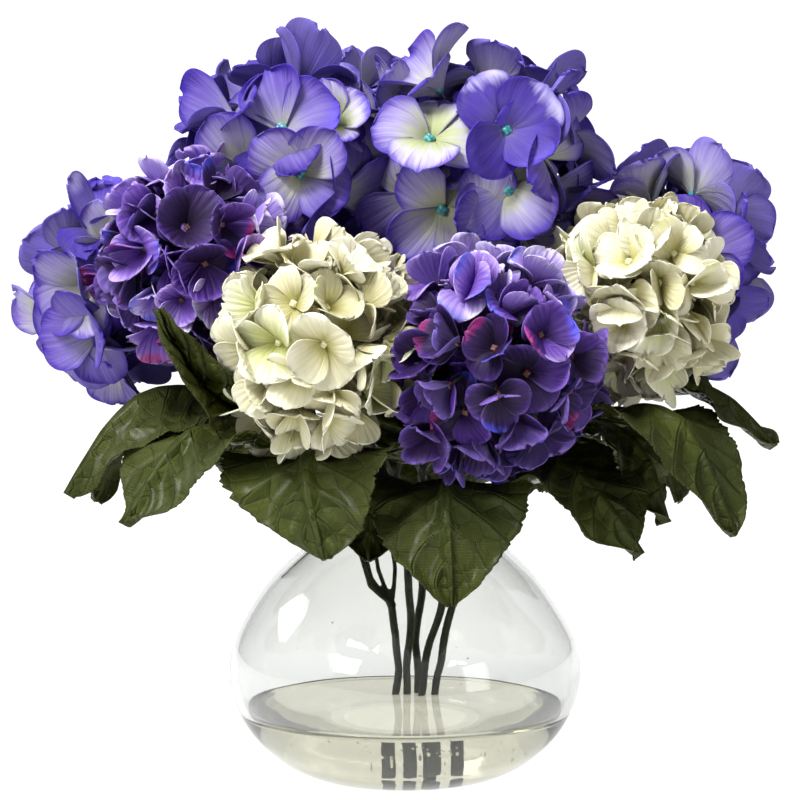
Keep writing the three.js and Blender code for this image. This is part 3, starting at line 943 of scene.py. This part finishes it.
def leaf_rows(node):
    """Middle, width and crosswise direction of each row of a CAD leaf, from petiole to tip."""
    points, neighbours = merged_points(node)
    nearest = points[np.argmin(np.hypot(points[:, 0], points[:, 1]))]
    row = set(np.flatnonzero(np.linalg.norm(points - nearest, axis=1) < 3.2 * MM))
    seen, rows = set(), []
    while row:
        seen |= row
        ring = points[sorted(row)]
        gaps = np.linalg.norm(ring[:, None] - ring[None], axis=2)
        a, b = np.unravel_index(np.argmax(gaps), gaps.shape)
        across = ring[b] - ring[a]
        if rows and across @ rows[-1][2] < 0:
            across = -across
        rows.append(((ring[a] + ring[b]) / 2, gaps.max(), unit(across)))
        row = set().union(*(neighbours[i] for i in row)) - seen
    return rows


def blade_share(t):
    """Width of the blade against its greatest, from its base at 0 to its tip at 1."""
    return np.clip(np.sin(np.pi * np.clip(t, 0, 1) ** 0.7), 0, 1) ** 0.7


def smooth_line(values, t):
    """Points or directions at even steps, followed smoothly and read at t from 0 to 1."""
    values = np.asarray(values, float)
    at = np.linspace(0, 1, len(values))
    flat = np.stack([np.interp(t, at, column) for column in values.T], axis=1)
    for _ in range(6):
        flat[1:-1] = (flat[:-2] + 2 * flat[1:-1] + flat[2:]) / 4
    return flat


def leaf_relief(side, share, reach, fold, rng):
    """How far the blade rises from the flat: its fold, ruffled edges, quilting and midrib."""
    from_rib = np.abs(side)
    left = np.where(side < 0, 1.0, 0.0)
    waves = rng.uniform(1.0, 1.9, 2)
    turns = rng.uniform(0, 2 * math.pi, 4)
    along = 2 * math.pi * share
    slow = left * np.sin(along * waves[0] + turns[0]) + (1 - left) * np.sin(along * waves[1] + turns[1])
    quick = left * np.sin(along * 4.2 + turns[2]) + (1 - left) * np.sin(along * 3.7 + turns[3])
    phase = share * LEAF_VEINS - from_rib * VEIN_SLOPE
    quilt = np.abs(np.sin(np.pi * phase)) ** 0.7 * (1 - from_rib**4) * np.clip(from_rib * 8, 0, 1)
    return (
        fold * np.abs(reach)
        - DROOP * reach**2
        + SLOW_WAVE * slow * from_rib**2
        + QUICK_WAVE * quick * from_rib**2.5
        + QUILT_HEIGHT * quilt
        - RIB_GROOVE * np.exp(-((side / 0.08) ** 2))
    )


def leaf_line(rows, t):
    """The line of a leaf's midrib, drawn out a little past the tip of the CAD plate."""
    line = smooth_line([middle for middle, _, _ in rows], t)
    heading = line[-1] - line[-6]
    extension = LEAF_EXTENSION * np.ptp(line, axis=0).max()
    tip = line[-1] + unit(heading) * extension
    return line + (np.clip((t - 0.6) / 0.4, 0, 1) ** 1.5)[:, None] * (tip - line[-1])


def leaf_edges(share, rng):
    """How far the left and right edges stand out from a smooth outline, as factors."""
    teeth = TOOTH * rng.uniform(-1, 1, (2, LEAF_ROWS)) * (np.arange(LEAF_ROWS) % 2)
    scallops = SCALLOP * np.abs(np.sin(np.pi * SCALLOPS * share + rng.uniform(0, 3, (2, 1))))
    lobes = LOBE * np.sin(2 * np.pi * share * rng.uniform(1.5, 3, (2, 1)) + rng.uniform(0, 6, (2, 1)))
    return (1 + teeth + scallops + lobes)[:, :, None]


def build_leaf(node, seed):
    rng = np.random.default_rng(seed)
    rows = leaf_rows(node)
    t = np.linspace(0, 1, LEAF_ROWS)
    line = leaf_line(rows, t)
    across = unit(smooth_line([direction for _, _, direction in rows], t))
    normal = np.cross(across, unit(np.gradient(line, axis=0)))[:, None]
    widths = np.array([width for _, width, _ in rows])
    blade_start = np.flatnonzero(widths > BLADE_MARK)[0] / (len(rows) - 1) - 0.5 / len(rows)
    share = ((t - blade_start) / (1 - blade_start))[:, None]
    side = np.linspace(-1, 1, LEAF_COLUMNS)[None]
    half = np.maximum(PETIOLE_WIDTH, widths.max() * LEAF_GROWTH * blade_share(share)) / 2
    half = half / math.hypot(1, FOLDED_LEAVES.get(node, 0))
    edges = leaf_edges(share[:, 0], rng)
    reach = side * half * (1 + side**6 * (np.where(side < 0, edges[0], edges[1]) - 1))
    on_blade = np.clip(share * 5, 0, 1)
    fold = FOLDED_LEAVES.get(node, LEAF_FOLD)
    rise = leaf_relief(side, np.clip(share, 0, 1), reach, fold, rng) * on_blade
    surface = line[:, None] + across[:, None] * reach[..., None] + normal * rise[..., None]
    petiole = (PETIOLE_THICKNESS - LEAF_THICKNESS) * (1 - np.clip(share * 12, 0, 1))
    rib = RIB_DEPTH * np.exp(-((side / 0.06) ** 2)) * (1 - 0.8 * np.clip(share, 0, 1)) * on_blade
    below = (LEAF_THICKNESS / 2 + petiole + rib)[..., None]
    along_uv = np.repeat(np.clip(share, 0, 1), LEAF_COLUMNS, axis=1)
    across_uv = np.repeat((side + 1) / 2, LEAF_ROWS, axis=0)
    uv_above = cell_uv(across_uv, along_uv, 0, 0, *LEAF_CELLS)
    uv_below = cell_uv(across_uv, along_uv, 1, 0, *LEAF_CELLS)
    parts = Parts()
    parts.add(*shell(surface, LEAF_THICKNESS / 2, below, uv_above, uv_below))
    parts.piece(node + "_blade", MATERIALS["leaf"], "leaf", [node])


def build_leaves():
    for seed, node in enumerate(sorted(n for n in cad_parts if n.startswith("leaf_"))):
        build_leaf(node, seed)


# -------- stems

STEM_VOXEL = 0.55 * MM
STEM_SHRINK = 0.3 * MM
STEM_SWAY = 0.6 * MM
SWAY_RISE = 15 * MM  # the sway grows over this height above the resin
SWAY_WAVES = (160, 130)  # sideways and fore and aft, in radians per metre


def sway(mesh, seed):
    """Bends a stem a little from side to side above the resin."""
    co = corners(mesh)
    height = co[:, 2].copy()
    amount = STEM_SWAY * np.clip((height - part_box("water")[1].z) / SWAY_RISE, 0, 1)
    co[:, 0] += amount * np.sin(height * SWAY_WAVES[0] + seed)
    co[:, 1] += amount * np.cos(height * SWAY_WAVES[1] + 2 * seed)
    mesh.vertices.foreach_set("co", co.ravel())


def build_stem(node):
    """A copy of the CAD stem with its corners rounded off and its forks blended."""
    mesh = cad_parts[node].data.copy()
    mesh.name = node + "_round"
    mesh.materials.clear()
    mesh.materials.append(MATERIALS["stem"])
    obj = add_object(node + "_round", mesh)
    remesh = obj.modifiers.new("remesh", "REMESH")
    remesh.mode = "VOXEL"
    remesh.voxel_size = STEM_VOXEL
    remesh.use_smooth_shade = True
    smooth = obj.modifiers.new("smooth", "SMOOTH")
    smooth.iterations = 6
    shrink = obj.modifiers.new("shrink", "DISPLACE")
    shrink.strength = -STEM_SHRINK
    shrink.mid_level = 0
    evaluated = obj.evaluated_get(bpy.context.evaluated_depsgraph_get())
    obj.data = bpy.data.meshes.new_from_object(evaluated)
    obj.modifiers.clear()
    sway(obj.data, len(node))
    finish_piece(obj, "stem", [node])


def build_stems():
    for node in sorted(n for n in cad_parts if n.startswith("stem_")):
        build_stem(node)


# -------- glass and resin

# The vase's outside from its foot to its lip: share of its greatest radius and of its height.
VASE_OUTLINE = [
    (0.0, 0.0), (0.35, 0.0), (0.424, 0.0), (0.5, 0.005), (0.62, 0.031), (0.748, 0.082), (0.888, 0.178),
    (0.985, 0.31), (0.997, 0.43), (0.94, 0.55), (0.757, 0.73), (0.551, 0.858), (0.44, 0.94),
    (0.405, 0.975),
]
WALL = 3.2 * MM
FLOOR_THICKNESS = 6 * MM
LIP_BEAD = 2.1 * MM
VASE_SIDES = 144
LATHE_STEPS = 8
ON_AXIS = 0.01 * MM  # radius of the tiny ring that closes a turned shape
UNEVENNESS = 0.004  # against the radius
RESIN_BOND = 0.1 * MM  # how far the resin reaches into the glass that it sticks to
MENISCUS_WIDTH = 4 * MM
MENISCUS_HEIGHT = 1.2 * MM

GLASS_BUBBLES = 46
GLASS_BUBBLE_SIZES = (0.15 * MM, 0.45 * MM)
RESIN_BUBBLES = 34
RESIN_BUBBLE_SIZES = (0.15 * MM, 0.5 * MM)
RESIN_BUBBLE_DEPTHS = (1 * MM, 5 * MM)
RESIN_BUBBLE_SPREAD = 16 * MM
RESIN_BUBBLES_AT = Vector((4, 2, 0)) * MM  # they gather round the stems


def smooth_outline(points, steps):
    """A smooth line through the points, as a Catmull-Rom curve."""
    p = [np.array(q, float) for q in points]
    p = [2 * p[0] - p[1]] + p + [2 * p[-1] - p[-2]]
    found = []
    for a, b, c, d in zip(p, p[1:], p[2:], p[3:]):
        for t in np.arange(steps) / steps:
            squared, cubed = 2 * a - 5 * b + 4 * c - d, 3 * b - a - 3 * c + d
            found.append((2 * b + (c - a) * t + squared * t**2 + cubed * t**3) / 2)
    return np.array(found + [p[-2]])


def turned(profile, sides):
    """A closed profile of (radius, height) points turned round the Z axis."""
    turn = np.arange(sides) * 2 * math.pi / sides
    radius, height = profile[:, :1], profile[:, 1:]
    rings = np.stack([radius * np.cos(turn), radius * np.sin(turn), height + 0 * turn], axis=2)
    points, quads, uvs = ring_grid(rings)
    return uneven(points), quads, uvs


def uneven(points):
    """Points moved a little in and out from the axis, as in glass that was blown by hand."""
    around = np.arctan2(points[:, 1], points[:, 0])
    height = points[:, 2] / MM
    wave = np.sin(3 * around + height / 17) * np.sin(height / 11 + 1)
    wave += 0.5 * np.sin(5 * around - height / 9)
    moved = points.copy()
    moved[:, :2] *= (1 + UNEVENNESS * wave)[:, None]
    return moved


def inset(line, depth):
    """A line of (radius, height) points moved towards the axis by depth, square to itself."""
    tangent = unit(np.gradient(line, axis=0))
    return line + np.stack([-tangent[:, 1], tangent[:, 0]], axis=1) * np.asarray(depth)[:, None]


def vase_lines():
    """The vase's outside from foot to lip, and its inside from floor to lip."""
    low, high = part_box("vase")
    radius, height = (high.x - low.x) / 2, high.z
    outside = smooth_outline(VASE_OUTLINE, LATHE_STEPS) * (radius, height)
    wall = outside[outside[:, 0] > 0.42 * radius]
    share = np.linspace(0, 1, len(wall))
    inside = inset(wall, WALL + (FLOOR_THICKNESS - WALL) * np.clip(1 - 2.5 * share, 0, 1))
    return outside, inside


def add_bubble(parts, middle, radius, outward):
    """A small bubble: a ball whose faces look inwards, out of the glass or resin."""
    points, quads, uvs = ball(middle, radius, 2, outward, 8, 6)
    parts.add(points, quads[:, ::-1], uvs[:, ::-1])


def build_vase():
    outside, inside = vase_lines()
    lip_middle = (outside[-1] + inside[-1]) / 2
    turn = np.linspace(0.0, math.pi, 13)[1:-1]
    lip = lip_middle + LIP_BEAD * np.stack([np.cos(turn), np.sin(turn)], axis=1)
    lip[:, 1] -= lip[:, 1].max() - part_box("vase")[1].z
    floor = [[ON_AXIS, inside[0, 1]]]
    profile = np.concatenate([[[ON_AXIS, 0]], outside[1:], lip, inside[::-1], floor])
    parts = Parts()
    parts.add(*turned(profile, VASE_SIDES))
    rng = np.random.default_rng(5)
    for _ in range(GLASS_BUBBLES):
        i = rng.integers(10, len(inside) - 6)
        j = np.argmin(np.hypot(*(outside - inside[i]).T))
        radius, height = (outside[j] + inside[i]) / 2
        around = rng.uniform(0, 2 * math.pi)
        out = Vector((math.cos(around), math.sin(around), 0))
        middle = Vector((0, 0, height)) + out * radius
        add_bubble(parts, middle, rng.uniform(*GLASS_BUBBLE_SIZES), out)
    parts.piece("vase_glass", MATERIALS["glass"], "glass", ["vase"])


def build_resin():
    """The resin fills the vase up to its CAD level and climbs a little where it meets the glass."""
    inside = vase_lines()[1]
    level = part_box("water")[1].z
    wall = inset(inside, np.full(len(inside), -RESIN_BOND))
    wall = wall[wall[:, 1] < level + MENISCUS_HEIGHT]
    dip = np.linspace(0, 1, 12)[1:]
    meniscus_radius = wall[-1, 0] - MENISCUS_WIDTH * dip
    meniscus = np.stack([meniscus_radius, level + MENISCUS_HEIGHT * (1 - dip) ** 3], axis=1)
    profile = np.concatenate([[[ON_AXIS, wall[0, 1]]], wall, meniscus, [[ON_AXIS, level]]])
    parts = Parts()
    parts.add(*turned(profile, VASE_SIDES))
    rng = np.random.default_rng(8)
    for _ in range(RESIN_BUBBLES):
        sideways = Vector((*rng.normal(0, RESIN_BUBBLE_SPREAD, 2), 0))
        height = level - rng.uniform(*RESIN_BUBBLE_DEPTHS)
        middle = sideways + RESIN_BUBBLES_AT + UP * height
        add_bubble(parts, middle, rng.uniform(*RESIN_BUBBLE_SIZES), UP)
    parts.piece("water_resin", MATERIALS["resin_water"], "resin_water", ["water"])


# -------- stage


def stage_sheet(name, middle, half_width, depth, height, material):
    """A sheet as wide as given along X that follows a line of depths and heights."""
    x, y = np.meshgrid((middle - half_width, middle + half_width), depth)
    z = np.repeat(np.asarray(height, float)[:, None], 2, axis=1)
    points = np.stack([x, y, z], axis=2).reshape(-1, 3)
    add_mesh(name, points, grid_quads(len(depth), 2), material)


def build_stage():
    """A pale floor, and behind it a narrow backdrop that sweeps up from it."""
    material = stage_material()
    side_width = (FLOOR_HALF_WIDTH - BACKDROP_HALF_WIDTH) / 2
    depth = [-FLOOR_HALF_WIDTH, FLOOR_HALF_WIDTH]
    for name, side in (("left", -1), ("right", 1)):
        middle = side * (BACKDROP_HALF_WIDTH + side_width)
        stage_sheet("floor_" + name, middle, side_width, depth, [0, 0], material)
    bend = np.linspace(0, math.pi / 2, BACKDROP_POINTS)
    depth = np.concatenate([[-FLOOR_HALF_WIDTH], BACKDROP_START + BACKDROP_BEND * np.sin(bend)])
    height = np.concatenate([[0], BACKDROP_BEND * (1 - np.cos(bend))])
    depth, height = np.append(depth, depth[-1]), np.append(height, BACKDROP_HEIGHT)
    stage_sheet("floor_and_backdrop", 0, BACKDROP_HALF_WIDTH, depth, height, material)


make_camera()
make_world()
for lamp, settings in LAMPS.items():
    make_lamp(lamp, *settings)
build_stage()
build_vase()
build_resin()
build_stems()
build_leaves()
build_heads()
